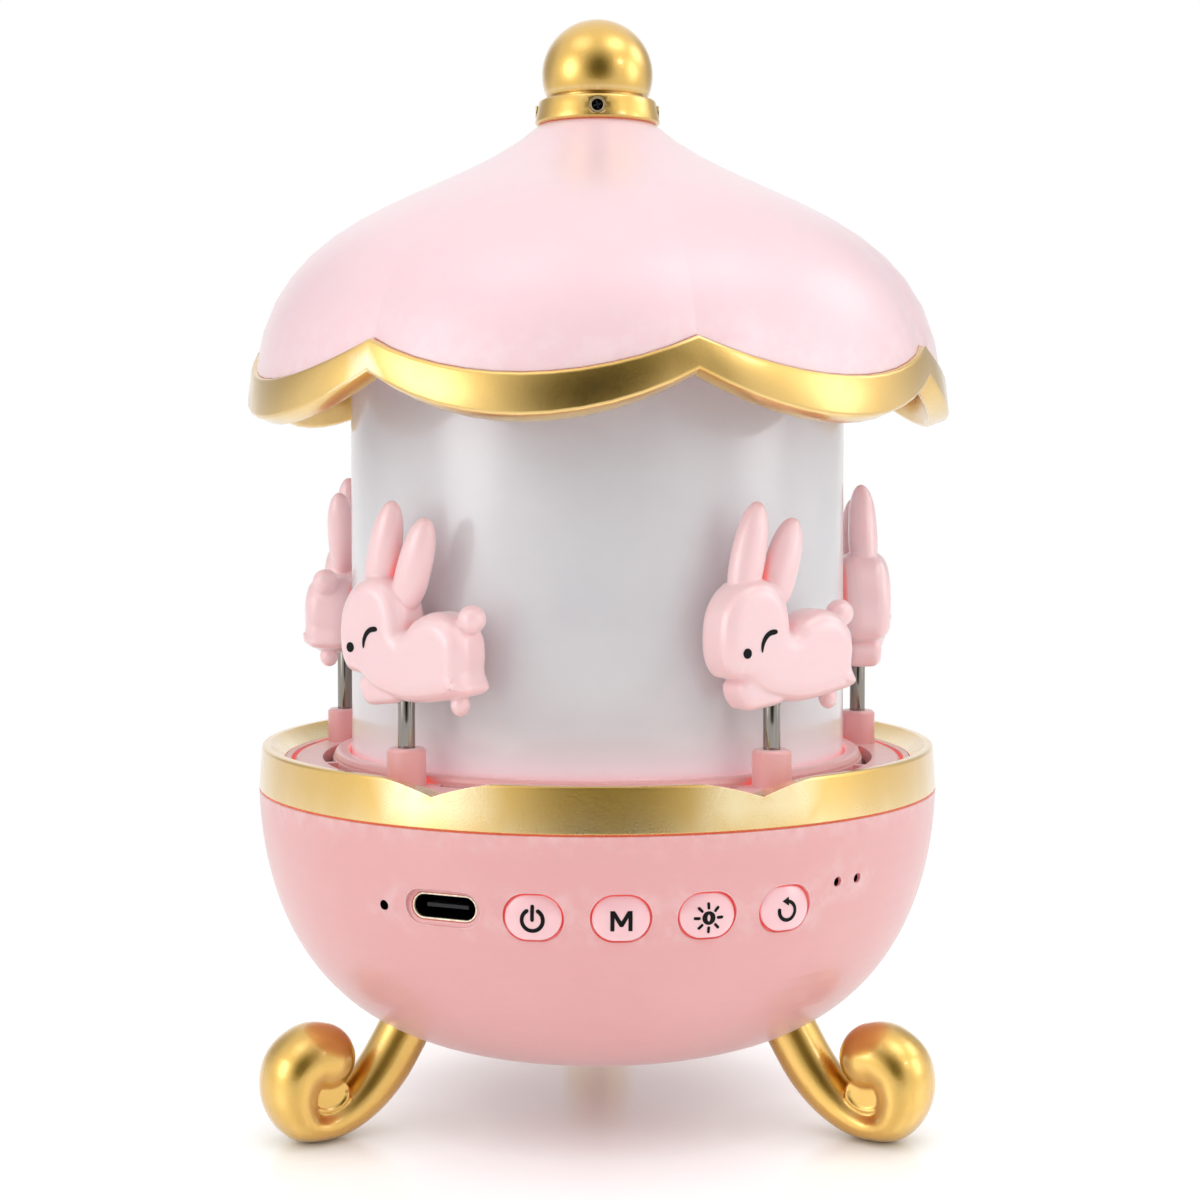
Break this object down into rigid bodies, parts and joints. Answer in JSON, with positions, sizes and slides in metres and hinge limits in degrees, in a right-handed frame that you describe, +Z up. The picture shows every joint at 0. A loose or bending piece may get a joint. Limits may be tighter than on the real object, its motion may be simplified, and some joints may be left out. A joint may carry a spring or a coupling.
{
  "type": "carousel music box",
  "caption": "Carousel music box and lamp: a petal dome over a milky light tube, with rabbits on rods that ride round on a geared turntable in a bowl on scroll feet.",
  "frame": {"origin": "on the carousel's axis at floor level", "axes": "+Z up along the carousel's axis, -Y towards the front with the buttons, +X to the right seen from the front"},
  "size_m": [0.0967, 0.0989, 0.1503],
  "materials": {
    "pink_plastic": "satin gloss",
    "canopy_pink": "satin",
    "gold": "satin gold paint with a fine grain",
    "rabbit_pink": "satin moulded",
    "button_pink": "glossy with black print",
    "milky": "milky, glossy",
    "polished_steel": "polished",
    "screw_steel": "plain",
    "motor_metal": "plated",
    "gear_white": "moulded acetal",
    "lamp_board": "white lacquer",
    "lamp": "clear",
    "circuit_board": "green lacquer",
    "switch_black": "black",
    "socket_steel": "plated",
    "cell_wrap": "foil pouch"
  },
  "bodies": {
    "base": {"base_bowl": "pink_plastic", "finial_ball": "gold", "finial_collar": "gold", "collar_screws": "screw_steel", "canopy_shell": "canopy_pink", "canopy_trim": "gold", "canopy_plate": "canopy_pink", "diffuser": "milky", "led_board": "lamp_board", "leds": "lamp", "rim_band": "gold", "top_deck": "pink_plastic", "deck_screws": "screw_steel", "control_board": "circuit_board", "board_screws": "screw_steel", "tact_switches": "switch_black", "usb_port": "socket_steel", "status_led": "lamp", "mic_capsules": "switch_black", "gear_motor": "motor_metal", "motor_screws": "screw_steel", "battery": "cell_wrap", "speaker": "switch_black", "foot_left": "gold", "foot_right": "gold", "foot_rear": "gold", "foot_screws": "screw_steel"},
    "carousel": {"carousel_ring": "pink_plastic", "ring_gear": "gear_white", "rod_1": "polished_steel", "rod_2": "polished_steel", "rod_3": "polished_steel", "rod_4": "polished_steel", "rod_5": "polished_steel", "rabbit_1": "rabbit_pink", "rabbit_2": "rabbit_pink", "rabbit_3": "rabbit_pink", "rabbit_4": "rabbit_pink", "rabbit_5": "rabbit_pink"},
    "pinion": {"motor_shaft": "motor_metal", "drive_pinion": "gear_white"},
    "button_power_cap": {"button_power": "button_pink"},
    "button_mode_cap": {"button_mode": "button_pink"},
    "button_light_cap": {"button_light": "button_pink"},
    "button_turn_cap": {"button_turn": "button_pink"}
  },
  "joints": [
    {"name": "carousel_spin", "type": "hinge", "parent": "base", "child": "carousel", "pos_m": [0, 0, 0.0473], "axis": [0, 0, 1], "continuous": true},
    {"name": "pinion_spin", "type": "hinge", "parent": "base", "child": "pinion", "pos_m": [0.02858, 0.0165, 0.043], "axis": [0, 0, 1], "continuous": true},
    {"name": "button_power_press", "type": "slide", "parent": "base", "child": "button_power_cap", "axis": [0.1702, 0.9854, 0], "range_m": [0, 0.0005], "stiffness_N_per_m": 500},
    {"name": "button_mode_press", "type": "slide", "parent": "base", "child": "button_mode_cap", "axis": [-0.0628, 0.998, 0], "range_m": [0, 0.0005], "stiffness_N_per_m": 500},
    {"name": "button_light_press", "type": "slide", "parent": "base", "child": "button_light_cap", "axis": [-0.2924, 0.9563, 0], "range_m": [0, 0.0005], "stiffness_N_per_m": 500},
    {"name": "button_turn_press", "type": "slide", "parent": "base", "child": "button_turn_cap", "axis": [-0.506, 0.8625, 0], "range_m": [0, 0.0005], "stiffness_N_per_m": 500}
  ],
  "couplings": [
    {"joint": "pinion_spin", "follows": "carousel_spin", "ratio": 6.5}
  ]
}
